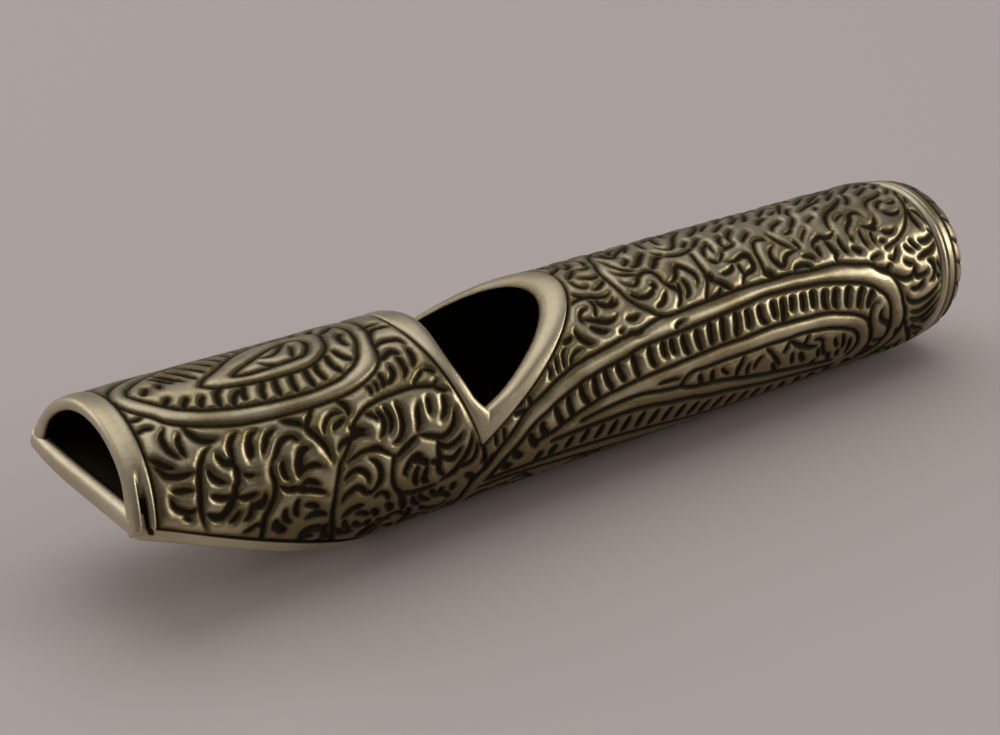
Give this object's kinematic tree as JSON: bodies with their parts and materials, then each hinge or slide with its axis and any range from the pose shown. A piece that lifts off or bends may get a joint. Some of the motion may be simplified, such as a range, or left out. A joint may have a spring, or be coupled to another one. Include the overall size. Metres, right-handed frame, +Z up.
{
  "type": "dog whistle",
  "caption": "Slim silver tube whistle with a slanted flat-soled beak, a V-shaped window with a plain frame, chased paisley and leaf scrolls, and a rounded closed end.",
  "frame": {"origin": "on the surface that the whistle lies on, under the middle of its length", "axes": "+X along the tube from the mouth to the closed end, +Z up through the window, +Y to the left of someone looking along +X"},
  "size_m": [0.06, 0.011, 0.011],
  "materials": {
    "chased_silver": "antique silver, chased, with dark oxide in the sunk ground",
    "plain_silver": "worn satin silver",
    "tarnished_silver": "dark tarnish inside the tube"
  },
  "bodies": {
    "root": {"barrel_tube": "chased_silver", "mouth_band": "plain_silver", "window_frame": "plain_silver", "sole_plate": "plain_silver", "windway_floor": "plain_silver", "stop_wall": "tarnished_silver", "end_ring": "plain_silver", "end_cap": "chased_silver"}
  },
  "joints": []
}
